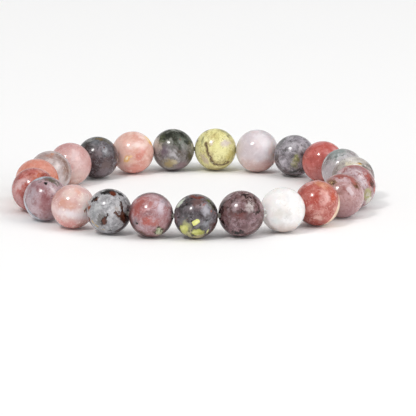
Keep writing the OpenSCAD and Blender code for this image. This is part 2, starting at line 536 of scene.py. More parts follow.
def lime_yellow(name):
    s = Stone(name, "#dfd896")
    s.cloud("#ece7a8", 2, .46, .57, .9)
    s.cloud("#c6bb79", 3, .55, .63, .7, twist=.8)
    s.spot("#f1edb0", .24, -.08, .3, 1.3, 60, .75, .5)
    s.spot("#fbf8c4", -.9, -.08, .09, 3, 92, .85, .5, .9)
    s.spot("#cbbaa2", -.52, -.48, .11, 3.2, -55, .9, .4, .5)
    s.spot("#d2c4bb", .5, .28, .14, 1.6, 20, .9, .5, .6)
    s.spot("#dfcdb8", -.2, .32, .1, 1.5, 40, .92, .4, .6)
    s.spot("#c9ba62", .66, -.36, .16, 1.8, 60, .7, .5)
    s.spot("#b59a5e", -.14, .6, .07, 3, 45, .55, .5, .7)
    s.spot("#5f634a", -.6, .42, .07, 2, 82, .85, .6, .7)
    s.spot("#4f523f", -.9, .4, .05, 3, 72, .92, .3, .5)
    s.spot("#676749", -.42, .89, .05, 2.8, 24, .92, .4, .5)
    s.spot("#76734f", .34, .88, .06, 3.6, -22, .8, .4, .7)
    s.spot("#f0ecb0", -.42, .44, .13, 1.8, 40, .8, .5)
    s.spot("#6a6a4d", .58, .72, .06, 2.8, -40, .85, .7, .6)
    s.spot("#5f4a30", .44, -.66, .05, 2.4, 20, .85, .8, .6)
    s.spot("#a08c58", .22, -.58, .07, 2.8, 8, .7)
    # Painted shade: darker along the bottom rim
    s.side("#ae9c6e", 0, -1, .1, .83, .98, .75)
    s.vein("#91824f", UPPER_VEIN_OF_LIME, .05, .38, .6, .8)
    s.spot("#b5a373", -.15, -.26, .09, 2, 110, .7, .5)
    s.vein("#a08657", VEIN_OF_LIME, .1, .65, .35, .7)
    vein = s.vein("#553f28", VEIN_OF_LIME, .058, .96, .35, .8)
    s.pit(vein)
    s.cloud("#a2945f", 4, .6, .65, .55, twist=1.2)
    s.threads("#a3965a", 2.4, .014, .75)
    s.threads("#f7f3c0", 3, .012, .6)
    s.specks("#7d6c48", 6, .3, .16, .55)
    s.specks("#8f858c", 7, .32, .08, .7)
    s.grain(.06)
    s.finish(rougher=.03)


def pale_lilac(name):
    s = Stone(name, "#d4c9cd")
    s.cloud("#e6dfe3", 1.2, .4, .62, .8, detail=3)
    # Painted light: the right side lighter, against the neighbour's shade
    s.side("#ece2e4", 1, .1, .3, .62, .96, .75)
    # Partly the stone's rose, partly painted shade and reflection of the neighbours, with a darker
    # painted-shade edge below
    s.side("#c08b80", .45, -.9, .2, .56, .96, .88, .4)
    s.side("#a86c5e", .5, -.85, .1, .86, 1, .7)
    # Lower side partly the stone's peach, partly painted light against the shade below
    s.side("#d9bab2", -.3, -1, .2, .5, 1, .75, .5)
    # Painted light where the neighbouring bead shades this one
    s.spot("#ecd3cb", .7, -.12, .16, 2.2, 85, .8, .4, .9)
    # Painted reflection of the window at the right
    s.spot("#f0eaee", .38, .26, .17, 1.5, 65, .6, .3, .9)
    s.spot("#c9a9a3", -.2, -.72, .2, 2.4, -20, .6, .4, .9)
    # Darker upper-right rim: a painted reflection of darker surroundings
    s.side("#b0a6ab", .6, .85, .15, .74, 1, .7, .2)
    s.cloud("#c6b5b8", 2.6, .54, .68, .35)
    s.streaks("#f5f1f3", 35, 2.4, 2.2, .55, .7, .4)
    s.threads("#f3edf0", 2.4, .01, .4)
    s.grain(.025)
    s.finish(clear=.45, depth=.0014)


def grey_purple(name):
    s = Stone(name, "#918b92")
    s.mottle("#5f5a5d", "#b2adb4", 2.2, .75)
    s.side("#646764", -.6, .8, 0, .65, .95, .8, .7)
    s.spot("#cbc5ce", -.6, -.36, .18, 1.4, 40, .95, .5, .7)
    s.spot("#aea9b0", .28, .56, .14, 1.9, 48, .8, .5, .6)
    s.spot("#bfbac1", -.2, .88, .07, 2.8, 12, .8, .4, .7)
    s.spot("#494648", .14, .32, .055, 3.8, -62, .7, .4, .5)
    s.spot("#bab4b9", .26, .32, .12, 1.6, 60, .75)
    s.spot("#4a4143", .44, -.04, .1, 2, 78, .75, .7, .6)
    s.spot("#a0a45c", .05, -.27, .145, 1.9, 80, .92, .6, .7)
    s.spot("#c9c797", .04, -.16, .05, 1.6, 80, .85, .3, .6)
    s.spot("#7d767a", -.28, -.14, .15, 1.8, 60, .6, .5)
    s.spot("#aaa48f", -.1, -.44, .1, 2, 60, .6)
    # Painted highlight: lighter round the lamp's highlight
    s.spot("#c6c3c8", -.24, .36, .15, 1.8, 30)
    s.spot("#605b5e", 0, .64, .1, 1.8, 20, .6)
    s.spot("#4e4848", -.52, .22, .1, 2, 60, .75, .8, .7)
    s.spot("#4a3c3b", -.82, -.28, .12, 3.4, -68, .9, .4)
    s.spot("#423e3b", .06, -.76, .12, 3, 8, .93, .5, .5)
    # Painted shade and reflection of the neighbours: darker along the bottom and the lower-left rim
    s.side("#4b4225", 0, -1, 0, .88, .99, .92)
    s.side("#3d2725", -.55, -.8, 0, .8, .97, .92)
    s.spot("#513d3e", -.38, -.78, .11, 2.2, -28, .85, .6, .7)
    s.spot("#493430", .42, -.66, .11, 2.2, 40, .85, .6, .7)
    s.back("#8f9468", .4, .2, .25, 1.6, 40, .7, .8, .6)
    s.mottle("#3f3a3b", "#c3bec4", 4.6, .35)
    s.threads("#3b3739", 2.8, .012, .6)
    s.specks("#332d2f", 6, .34, .14, .75)
    s.grain(.08)
    s.finish()


def coral_red(name):
    s = Stone(name, "#b95b55")
    s.cloud("#c76f68", 1.8, .45, .6, .8)
    s.cloud("#a64b44", 2.6, .53, .66, .65)
    s.side("#cf9191", -.3, .93, .1, .82, 1.02, .85, .2)
    s.side("#9d4841", 0, -1, .4, .45, 1, .6, .5)
    s.spot("#dca2a3", .6, .52, .08, 2.6, -48, .85, .3)
    s.spot("#d69b99", .2, .34, .13, 1.7, -40, .7, .6, .9)
    s.spot("#cd908e", -.12, -.66, .2, 1.8, 5, .7, .6, .9)
    s.side("#93372e", -.86, .45, .15, .8, 1, .7, .2)
    s.streaks("#d48f88", 20, 3, 2, .56, .66, .45)
    s.threads("#da9b94", 2.6, .01, .5)
    s.specks("#d88f85", 6, .3, .12, .4)
    s.grain(.045, 14)
    s.finish(clear=.45, depth=.0011)


def pale_grey_green(name):
    s = Stone(name, "#b5b0b0")
    s.side("#8b9593", -.45, .85, .1, .5, .92, .9, .6)
    s.side("#bdb1b7", -.8, -.4, .4, .4, .9, .85, .5)
    s.spot("#cbc5ca", -.05, .42, .16, 2.8, 42, .8, .7)
    s.spot("#8a7e81", .42, .78, .08, 2.8, -30, .75, .4, .7)
    s.spot("#7b7076", -.22, .04, .08, 3.4, 45, .9, .5, .6)
    s.spot("#6f7876", -.44, .54, .08, 1.8, 35, .75, .8, .7)
    s.spot("#e5decd", .2, .36, .11, 2.2, 0, .8, .4, .7)
    s.spot("#6b5656", -.76, .44, .12, 2.6, 62, .8, .4)
    s.spot("#d0d3d4", -.22, .64, .09, 1.8, 40, .75, .7)
    s.streaks("#e3e1e0", 45, 3.4, 3, .54, .62, .6)
    s.streaks("#5f6966", 50, 3.8, 3, .57, .62, .65)
    s.mottle("#7d7b7b", "#d8d5d6", 4.6, .22)
    s.threads("#5a6360", 3, .01, .5)
    s.specks("#56605b", 6, .3, .14, .65)
    s.grain(.05)
    s.finish(clear=.1)


def dark_olive(name):
    s = Stone(name, "#9a918e")
    s.cloud("#bab2ab", 2.2, .46, .57, .85, twist=.6)
    s.side("#5d584d", -.3, -.5, -.8, .1, .75, .9, .9)
    s.vein("#2a2320", RIM_OF_OLIVE, .075, .9, .35, .7)
    s.spot("#d0cbc4", .05, .8, .12, 3.2, 0, .85, .6, .7)
    s.spot("#e9dfc2", -.18, .62, .1, 2, 10, .8, .7, .7)
    s.spot("#c8991f", .25, .655, .045, 2.8, -5, .98, .2, .4)
    s.spot("#f3eee3", .08, .58, .06, 2.4, -5, .9, .3, .6)
    s.spot("#86786f", .58, .46, .05, 3, -50, .75, .6, .7)
    s.spot("#f3eee6", .5, .56, .035, 2.8, -46, .8, .4, .6)
    s.spot("#7d6866", -.8, .4, .08, 2.6, 62, .8, .4, .7)
    s.spot("#efe9e6", -.18, .88, .07, 3.4, 10, .75, .4)
    s.spot("#4a4942", .66, .62, .04, 2.6, -48, .7, .5, .6)
    s.spot("#7a5f62", .85, .27, .06, 2.4, -72, .85, .4, .7)
    s.streaks("#5b574e", -40, 3.8, 3, .57, .62, .7)
    s.streaks("#e0dad1", -30, 4.4, 3, .57, .64, .6)
    s.cloud("#a58c50", 3.2, .64, .68, .7, twist=.8)
    s.threads("#6b655c", 2.8, .01, .5)
    s.grain(.07)
    s.finish()


def banded_mauve(name):
    s = Stone(name, "#a07c80")
    s.cloud("#bca2a7", 2.2, .47, .58, .85)
    s.mottle("#7f5550", "#d9cbcd", 4.8, .22)
    s.threads("#dccfd2", 2.8, .01, .45)
    s.vein("#a0564f", TOP_OF_BANDED, .2, .9, .3, .7)
    s.back("#a35c57", -.3, .58, .16, 2.2, 40, .85, .5)
    s.back("#b98c90", .35, .62, .1, 2, -50, .8, .6)
    s.spot("#cbb9be", -.14, .66, .09, 3.2, 20, .8, .6)
    s.spot("#9c483e", .72, .28, .13, 3, -62, .9, .7, .5)
    s.spot("#a5564b", .5, .58, .09, 2.6, -42, .6, .5, .5)
    s.spot("#e6d7da", .31, .52, .11, 1.9, -45, .85, .6)
    s.spot("#d3aeb0", -.5, .76, .07, 2.6, 35, .7, .4)
    # Painted reflection of the window: a pale slanted streak
    s.spot("#cfc2c7", .36, .22, .11, 2.8, -56)
    s.spot("#8d5650", .16, .58, .035, 4, -28, .75, .7, .7)
    s.spot("#966560", .52, .02, .03, 4, -64, .7, .7, .7)
    s.spot("#46271f", .8, .12, .06, 3.2, -76, .92, .6, .5)
    s.spot("#b6786f", .6, .06, .05, 3, -64, .75, .6, .6)
    s.spot("#a54c42", .92, -.14, .045, 3.4, -80, .92, .4, .5)
    s.spot("#a9a66d", .6, -.34, .15, 1.6, 78, .95, .5, .5)
    s.spot("#d8d9c8", .66, -.62, .11, 1.9, 50, .93, .5, .6)
    s.spot("#7f7b3b", .56, -.34, .04, 2.6, 70, .85, .5, .6)
    s.vein("#c28489", RIM_OF_BANDED, .05, .85, .2, .5)
    s.streaks("#8a4a42", -50, 3.2, 2.6, .57, .62, .6)
    s.streaks("#e2d7d9", -50, 3.6, 3, .58, .65, .45)
    s.grain(.05)
    s.finish(clear=.15)


def dusty_rose(name):
    s = Stone(name, "#af8887")
    s.cloud("#bb9697", 2, .46, .6, .8)
    s.side("#9a4a41", .1, 1, .2, .76, .9, .88, .7)
    s.spot("#cdb5b9", -.05, .67, .11, 3, 4, .85, .7, .7)
    s.spot("#c6a8ab", .26, .72, .05, 2.6, -24, .75, .6, .7)
    s.spot("#955e5a", .1, .3, .05, 4.4, -50, .75, .6, .7)
    s.mottle("#8f5a57", "#ccb0b2", 5, .42)
    s.specks("#8a5c5a", 7, .42, .3, .6, ragged=.4)
    s.specks("#d7bfc1", 8, .4, .24, .6, ragged=.4)
    # Painted reflection of the window: a crisp pale slanted patch
    s.spot("#cbb5b9", .34, .21, .09, 2.4, -52, .88, .14, .35, boxy=True)
    s.spot("#94665f", -.14, .14, .11, 1.6, 20, .6, .7)
    s.spot("#c6a7a1", -.34, .34, .09, 1.7, 20, .75, .5, .7)
    s.spot("#8d5f50", -.6, .68, .07, 2.2, 40, .8, .4, .7)
    s.spot("#8a6446", -.46, .57, .15, 1.25, 10, .85, .8, .6)
    brown = s.zone(-.46, .56, .69, .975, .99, .1)
    s.specks("#3a2a16", 9, .55, .65, .92, ragged=.3, where=brown)
    s.specks("#c9ae7c", 10, .45, .4, .9, ragged=.3, where=brown)
    s.spot("#774f30", .62, .47, .1, 1.7, -52, .95, .5, .6)
    s.spot("#4a3019", .64, .46, .05, 1.6, -52, .9, .5, .6)
    s.spot("#7a4a3c", .74, .52, .06, 2.6, -54, .85, .4, .7)
    s.spot("#a65d53", .5, .62, .06, 3.4, -42, .85, .6, .7)
    s.side("#a2777d", 0, -1, .3, .4, 1, .6, .5)
    s.back("#5e4c2e", .3, .3, .18, 1.6, 40, .8, .9, .7)
    s.back("#9a4f47", -.25, .6, .16, 2.2, 35, .8, .5, .7)
    s.back("#a45d55", .45, .5, .12, 2, -40, .7, .6, .7)
    s.grain(.07)
    s.finish(clear=.3, coat=.3)


def coral_cream(name):
    s = Stone(name, "#b55f56")
    s.mottle("#a0483f", "#c5837a", 2.3, .55)
    s.side("#933b32", -.4, -.9, .2, .45, 1, .8, .6)
    # Painted shade and reflection of the neighbours along the lower-left rim
    s.side("#6b2a23", -.65, -.75, 0, .84, .99, .85)
    s.spot("#cf9270", .22, .8, .13, 2.6, -15, .9, .4, .6)
    s.spot("#bf543a", .68, .28, .13, 2.3, 76, .85, .6, .6)
    s.spot("#b2483c", -.2, .18, .18, 1.9, 30, .6, .7, .7)
    # Partly the stone's pale tone, partly a painted reflection of the window
    s.spot("#daa79f", .4, .26, .12, 2.6, 80, .9, .5, .5)
    s.spot("#daa89f", .08, -.36, .11, 1.8, 10, .65, .5, .7)
    s.spot("#dba8a2", .22, .1, .13, 1.6, 80, .7, .6)
    s.spot("#dfaca2", .2, .48, .11, 1.6, 60, .7, .6)
    s.spot("#9a3c28", .86, .29, .06, 2.6, 74, .85, .4, .7)
    s.spot("#daaaa0", .02, -.64, .1, 2.3, -8, .93, .4, .5)
    s.spot("#dba79b", .76, -.23, .07, 2.2, 72, .7, .5, .7)
    s.spot("#cb9087", -.34, -.2, .09, 2, 40, .82, .4, .7)
    s.spot("#d9aba8", -.3, .87, .05, 4, 20, .8, .4, .7)
    s.spot("#b2503e", .52, .56, .12, 2, -44, .75, .4, .7)
    cream = s.side("#f2dfc2", .76, -.36, -.54, .44, .48, .97, .08)
    s.streaks("#d3a57e", -35, 3, 3, .54, .6, .6, where=cream)
    s.back("#ecd3b4", .35, -.05, .14, 2.2, -50, .85, .5, .7)
    s.back("#b55f56", .8, .06, .11, 2, 60, .95, .4, .7)
    s.back("#c9806e", .62, -.66, .09, 2.4, 40, .9, .4, .7)
    s.streaks("#dfafa3", 60, 3.2, 2.2, .57, .65, .3)
    s.mottle("#98392f", "#dcaca0", 4.6, .2)
    s.threads("#e6bdb2", 2.6, .01, .55)
    s.threads("#8e342b", 3, .008, .45)
    s.grain(.05, 13)
    s.finish(clear=.3, depth=.001)


def milky_white(name):
    s = Stone(name, "#f1efee")
    s.cloud("#e8e6e5", 2, .48, .62, .6)
    s.cloud("#fbfaf9", 2.8, .5, .62, .7)
    s.spot("#dad3cc", -.2, -.14, .15, 1.8, 20, .7, .5, .9)
    s.spot("#dddbd8", .2, -.24, .11, 1.8, -30, .6, .5, .9)
    s.spot("#d9d8d9", .22, .46, .13, 1.8, 40, .5, .5, .9)
    # Painted shade: greyer and browner towards the bottom and the lower-left rim
    s.side("#cbb9b0", .1, -1, .1, .58, 1, .8)
    s.side("#b3a399", -.7, -.65, .1, .8, 1, .8)
    s.side("#d6d4d4", .3, 1, -.2, .82, 1, .5)
    s.streaks("#d5d2cf", 20, 3.2, 2.2, .57, .68, .5)
    s.threads("#d3d0cd", 2.6, .012, .5)
    s.grain(.02)
    # Painted glow at the left and in the bore
    s.paint_glow_through()
    s.finish(clear=.4, depth=.0012)


def plum(name):
    s = Stone(name, "#7d5e61")
    s.spot("#96767d", .18, -.36, .26, 1.6, 12, .45)
    s.spot("#86636a", -.34, -.5, .2, 1.5, -20, .65)
    s.mottle("#5b3c3d", "#a0868c", 2.6, .62)
    s.mottle("#442a29", "#b19aa0", 4.4, .42)
    s.threads("#42272a", 2.8, .014, .6)
    s.specks("#4e2c2b", 5, .45, .22, .7, ragged=.4)
    s.specks("#b39da2", 6, .4, .14, .55, ragged=.4)
    s.spot("#977a7b", .32, -.66, .12, 2, 20, .6)
    upper = s.zone(-.6, 1, 0, -.05, .45, .8)
    s.mix(upper, "#634844", .4)
    s.streaks("#2f1b15", 55, 3.2, 1.6, .54, .58, .75, where=upper)
    s.streaks("#aa9b98", 55, 4, 1.6, .58, .62, .75, where=upper)
    s.specks("#2a1712", 6, .48, .36, .8, ragged=.35, where=upper)
    # Painted highlight: lighter round the lamp's highlight
    s.spot("#b29da1", -.28, .34, .15, 1.6, 50, .7)
    s.spot("#9b8180", .24, .64, .1, 2, -15, .75)
    s.spot("#553a3a", .31, 0, .15, 2.2, 60, .7)
    # Partly the stone's pale tone, partly a painted reflection of the window
    s.spot("#b9adab", .38, .34, .15, 1.6, 68, .85, .7, .7)
    s.vein("#24120b", SWIRL_OF_PLUM, .07, .95, .8, .4)
    s.vein("#44291f", INNER_SWIRL_OF_PLUM, .035, .85, .8, .5)
    s.spot("#1c0d0a", -.9, .22, .07, 4.4, 80, .95, .9, .5)
    s.spot("#20110d", -.78, -.46, .065, 3.8, -56, .95, .9, .5)
    s.spot("#341d18", .04, .14, .09, 1.7, 20, .9, .9, .6)
    s.spot("#170805", .1, .78, .07, 3, -10, .98, .8, .5)
    s.spot("#33201c", -.36, .64, .08, 2.4, 30, .7, .9, .6)
    s.spot("#1d0c08", -.14, -.8, .075, 3.8, 0, .98, .8, .4)
    s.spot("#4a2c2b", .32, -.85, .05, 3, 14, .9, .8, .5)
    s.spot("#6a3733", -.1, -.08, .1, 3, -10)
    # Painted shade: darker along the bottom rim
    s.side("#3d2224", 0, -1, 0, .905, 1, .94, .2)
    s.spot("#4a2b25", .6, .46, .09, 2.2, -56, .7, .8, .7)
    s.spot("#a08e91", -.56, .74, .07, 3.2, 38, .75, .8, .6)
    # Partly the stone's dark rim, partly painted shade and reflection of the neighbours
    s.vein("#4c2723", RIM_OF_PLUM, .15, .85, .2, .9)
    # Pale line on the top rim: a painted reflection
    s.side("#867b84", -.1, 1, -.2, .935, 1, .9, .2)
    s.back("#7d6d72", .25, .55, .14, 2.2, -35, .8, .6)
    s.back("#7d6d72", -.45, .45, .12, 2.4, 50, .8, .6)
    s.grain(.09)
    s.finish()


def charcoal_lime(name):
    s = Stone(name, "#5d5659")
    s.mottle("#393233", "#7d777d", 2.3, .75)
    s.mottle("#2b2324", "#9c99a0", 4.6, .35)
    s.threads("#8b8890", 2.8, .008, .35)
    s.spot("#342a2b", -.16, .64, .15, 2.2, 10, .7)
    # Painted highlight: lighter round the lamp's highlight
    s.spot("#8d8287", -.34, .3, .13, 1.5, 30, .7)
    s.spot("#a18b8c", .14, .45, .1, 1.8, 10, .7)
    s.spot("#6a4d4a", .1, .62, .1, 2.4, 0, .8, .7, .7)
    s.spot("#6b2f22", .06, .85, .065, 5.4, -4, .95, .5, .5)
    s.spot("#100c0a", -.56, .42, .085, 3.2, 52, .55, .7, .6)
    s.spot("#c9d1c2", -.71, .58, .06, 4.6, 50, .97, .25, .5)
    s.spot("#4c4f12", .62, .6, .08, 3.2, -46, .98, .6, .5)
    s.spot("#1c1911", .8, .42, .06, 4.2, -62, .9, .5, .5)
    # Partly the stone's grey, partly a painted reflection of the window
    s.spot("#a29fa7", .46, .32, .16, 1.7, 72, .85, .7, .7)
    s.spot("#a35b4b", .68, .22, .045, 1.7, 60, .85, .6, .6)
    s.spot("#8f4f46", .34, .56, .045, 2, 60, .8, .6, .6)
    s.spot("#8d8f95", .44, -.32, .15, 1.9, 20, .7, .7, .7)
    s.spot("#7d7a80", -.6, -.22, .13, 1.9, 75, .7, .7)
    # Painted shade and reflection of the neighbours on the lower-right rim
    s.spot("#4a2e28", .78, -.5, .09, 3.2, -58, .9, .6)
    s.spot("#191414", .22, -.5, .08, 2.2, 20, .6, .6, .6)
    s.spot("#292020", -.46, .06, .15, 2.2, 70, .6, .7, .7)
    s.spot("#30262a", .22, .04, .1, 2.4, -40, .75, .7, .7)
    s.spot("#4b4146", 0, .27, .12, 1.5, 20, .7, .7, .7)
    s.spot("#836a6f", -.88, -.1, .045, 3.8, 84, .85, .5, .6)
    # Painted shade and reflection of the neighbours on the lower-right rim
    s.side("#43241c", .6, -.8, 0, .82, .96, .95, .2)
    s.specks("#120e0e", 5, .42, .22, .9, ragged=.35)
    s.specks("#80433a", 7, .32, .1, .7)
    s.spot("#0f0c0b", -.48, -.58, .245, 1.15, 60, .88, .6, .4)
    s.spot("#0f0c0b", .06, -.74, .18, 2, 6, .88, .6, .4)
    s.spot("#b0b07c", -.4, -.4, .13, 1.6, -50, .85, .6)
    s.spot("#e3e486", -.01, -.26, .1, 1.8, 33, .98, .12, .16, boxy=True)
    s.spot("#f8f6ba", .02, -.24, .05, 2.2, 33, .7, .2, .7)
    s.spot("#d0d174", -.54, -.58, .185, 1.2, 60, .95, .42, .3)
    s.spot("#e3e39a", -.58, -.52, .06, 2, 60, .65, .4)
    s.spot("#c4c474", -.42, -.72, .07, 1.6, -30, .8, .4)
    s.spot("#c6c76a", .06, -.72, .135, 2.1, 6, .92, .42, .35)
    s.spot("#e4e5a0", -.08, -.7, .045, 2.4, 6, .7, .3, .7)
    s.spot("#8f8f3c", .2, -.76, .06, 2, 10, .75, .4)
    s.spot("#bdb394", -.26, -.68, .07, 1.6, 60, .85, .6, .6)
    s.spot("#cdc096", .02, -.92, .06, 5, 2, .9, .4, .6)
    s.spot("#d9db92", .52, -.67, .035, 2.4, 55, .94, .2, .3)
    s.spot("#c3bc8c", -.36, -.85, .055, 2.8, -24, .85, .4, .6)
    # Partly the stone's dark rim, partly painted shade and reflection of the neighbours
    s.vein("#43271f", RIM_OF_CHARCOAL, .09, .85, .2, .9)
    s.back("#c9cb6c", .3, .2, .2, 1.7, 40, .9, .5, .25)
    s.back("#c9cb6c", -.5, -.3, .14, 1.7, -30, .9, .5, .25)
    s.grain(.07)
    s.finish()


def brick_mauve(name):
    s = Stone(name, "#a67d81")
    s.cloud("#bb9ca0", 2.2, .47, .59, .8)
    s.mottle("#8a4f49", "#cab6ba", 4.6, .32)
    s.threads("#cdbcc1", 2.8, .012, .55)
    s.specks("#7c3a33", 7, .34, .14, .65)
    s.spot("#a04b42", -.6, .24, .22, 1.7, 66, .85, .9)
    s.spot("#b35345", -.15, -.26, .16, 1.8, -25, .85, .9)
    s.spot("#ae5f56", .22, -.34, .12, 1.8, 30, .75, .9)
    s.spot("#a95b53", -.4, .66, .14, 2, 28, .8, .9)
    s.spot("#a9625b", .02, .48, .14, 1.9, 10, .7, .9)
    s.spot("#7d4e4f", -.16, .02, .09, 2.4, 10, .6)
    # Painted highlight: lighter round the lamp's highlight
    s.spot("#dfb6b8", -.22, .23, .1, 1.6, 30, .65)
    s.mottle("#8e4a43", "#c9b4b8", 5, .3)
    # Partly the stone's lilac-grey, partly a painted reflection of the window
    s.spot("#c9bac3", .44, .38, .12, 2.8, 78, .88, .4, .6)
    s.spot("#cbb8c0", .28, .54, .09, 1.9, 30, .8, .6)
    s.spot("#92868d", .62, .54, .08, 2.4, -48, .8, .6)
    # Top band partly the stone's grey, partly painted shade on the upper rim
    s.vein("#574248", TOP_OF_BRICK, .17, .85, .2, .98)
    s.side("#5b4c51", 1, 0, .05, .86, .98, .93, .4)
    s.spot("#7c7178", -.74, -.36, .12, 2.2, 70, .92, .5, .6)
    s.spot("#b9a9ae", -.48, -.54, .08, 2.2, -40, .7, .5)
    s.spot("#66573f", -.42, -.8, .06, 3, -22, .88, .5, .6)
    # Painted shade and reflection of the neighbours on the lower-right rim and the left rim
    s.side("#451714", .75, -.64, 0, .74, .97, .94, .2)
    s.vein("#532321", RIM_OF_BRICK, .19, .9, .2, .9)
    s.spot("#b5a698", .34, -.85, .06, 2.6, 16, .8, .4, .7)
    # Painted shade: darker along the bottom rim
    s.side("#5a2c29", -.25, -.95, .1, .83, .99, .85, .2)
    s.spot("#454030", .32, -.73, .14, 1.8, 18, .94, .7, .35)
    s.spot("#c4c9a8", .37, -.71, .08, 1.9, 22, .95, .8, .5)
    s.spot("#6f7a54", .26, -.7, .03, 2, 40, .8, .4, .6)
    s.spot("#0b0808", -.62, -.38, .05, 1.3, 0, 1, .1, .25)
    s.back("#ab5f57", .3, .2, .5, 1.4, 30, .8, 1, .7)
    s.threads("#7a3b35", 2.8, .009, .4)
    s.grain(.06)
    s.finish(clear=.1)


def granite_grey(name):
    s = Stone(name, "#9f9da0")
    s.mottle("#8b8a8d", "#c3c2c6", 2.4, .7)
    s.mottle("#717174", "#d2d2d5", 5.2, .42)
    s.specks("#666a6b", 8, .36, .22, .5)
    s.threads("#606266", 2.6, .01, .4)
    s.spot("#dcdadd", .18, 0, .13, 1.6, 60, .7, .7, .9)
    s.spot("#7b7e80", -.66, -.1, .14, 2, 80, .6, .7, .9)
    s.spot("#c9cacb", -.5, .2, .12, 1.4, 40, .7, .8, .9)
    s.spot("#080302", -.08, .84, .095, 3.8, 4, 1, .3, .3)
    s.spot("#58220b", .16, .78, .09, 1.8, -30, 1, .3, .25)
    s.spot("#0d0605", .46, .78, .065, 3.2, -34, 1, .35, .3)
    s.spot("#1c0f0b", .02, .93, .05, 5, -2, .9, .4, .4)
    s.spot("#55504f", .8, .42, .08, 2.6, -62, .8, .7, .7)
    s.spot("#241009", -.62, .56, .09, 2.2, 44, 1, .55, .3)
    s.spot("#6b3a26", -.52, .54, .04, 2.4, 44, .9, .5, .5)
    s.spot("#7a3f26", -.89, .2, .04, 3, 80, .98, .4, .4)
    s.spot("#6b3520", -.88, -.36, .045, 2.4, -68, .98, .4, .4)
    s.spot("#5f5a54", -.41, -.34, .13, 2, 70, .75, .8, .7)
    s.spot("#2a140c", -.1, -.22, .055, 2.6, 62, .95, .5, .3)
    s.spot("#2f150b", -.23, -.42, .125, 1.8, 72, .98, .4, .25)
    s.spot("#5f2a15", -.2, -.46, .07, 1.8, 70, .88, .5, .6)
    s.vein("#34190f", CRACK_OF_GRANITE, .075, .98, .35, .3)
    s.spot("#3f1c0a", .65, -.29, .17, 1.8, -62, .98, .45, .25)
    s.spot("#6a3620", .62, -.18, .06, 2.2, -62, .75, .5, .6)
    s.vein("#4a2414", HOOK_OF_GRANITE, .07, .98, .35, .3)
    s.spot("#4b3f39", .89, .08, .05, 4, 82, .75, .7, .4)
    s.spot("#9b8b80", .36, .1, .08, 1.6, 60, .6, .7)
    s.spot("#5f463f", .46, -.09, .05, 1.9, -30, .8, .8, .6)
    s.vein("#c8a650", GOLD_OF_GRANITE, .034, .93, .35, .6)
    s.spot("#2c2622", 0, -.86, .035, 2.8, 0, .92, .5, .5)
    # Partly the stone's dark edge, partly painted shade and reflection of the neighbours on the lower-right
    # rim
    s.vein("#2e1813", RIM_OF_GRANITE, .13, .95, .25, .6)
    s.back("#3b2119", .3, .3, .14, 2.2, 40, .95, .8, .35)
    s.back("#3b2119", -.4, -.3, .12, 2.6, -30, .95, .8, .35)
    s.specks("#45403d", 7, .3, .1, .75)
    s.grain(.07)
    s.finish()


def pale_peach(name):
    s = Stone(name, "#d4aca9")
    s.cloud("#e0c6c2", 2, .44, .6, .75)
    s.spot("#e3cfc6", -.1, .62, .18, 1.9, 18, .7, .7, .9)
    s.spot("#d59d89", -.42, .18, .15, 1.8, 58, .75, .7, .9)
    s.spot("#d7a594", -.06, .04, .14, 2, -5, .68, .7, .9)
    s.spot("#dda793", .24, .66, .09, 1.8, -40, .65, .4, .9)
    # Partly the stone's pale tone, partly a painted reflection of the window
    s.spot("#ead8cd", .42, .36, .16, 1.6, 60, .7, .8, .9)
    s.spot("#f2e7ea", -.16, -.34, .16, 4, -10, .9, .4, .95)
    # Painted light on the lower right, against the shade of the neighbouring bead
    s.spot("#f4e8ea", .46, -.32, .18, 1.6, -20, .85, .4, .9)
    # Lower side partly the stone's rose, partly painted light against the shade below
    s.side("#de9b95", -.2, -1, .2, .66, 1, .9, .4)
    s.side("#bd877c", -.75, .62, .2, .78, 1, .75, .2)
    s.spot("#a86a5c", .4, -.82, .09, 3, 26, .85, .4, .9)
    # Painted light on the right, against the neighbour's shade
    s.spot("#f3e2de", .6, .08, .2, 2, 80, .9, .6, .9)
    s.streaks("#f6ebe6", 20, 3.4, 2.2, .55, .67, .4)
    s.spot("#d7a797", -.08, -.02, .09, 2.4, -5, .75, .6)
    s.spot("#874a31", .59, -.18, .045, 2, 80, .95, .3, .5)
    s.threads("#f5e8e2", 2.6, .012, .5)
    s.specks("#f9ece2", 7, .36, .3, .65)
    s.specks("#c98f80", 8, .32, .14, .45)
    s.grain(.04, 13)
    s.finish(clear=.4, depth=.0011)


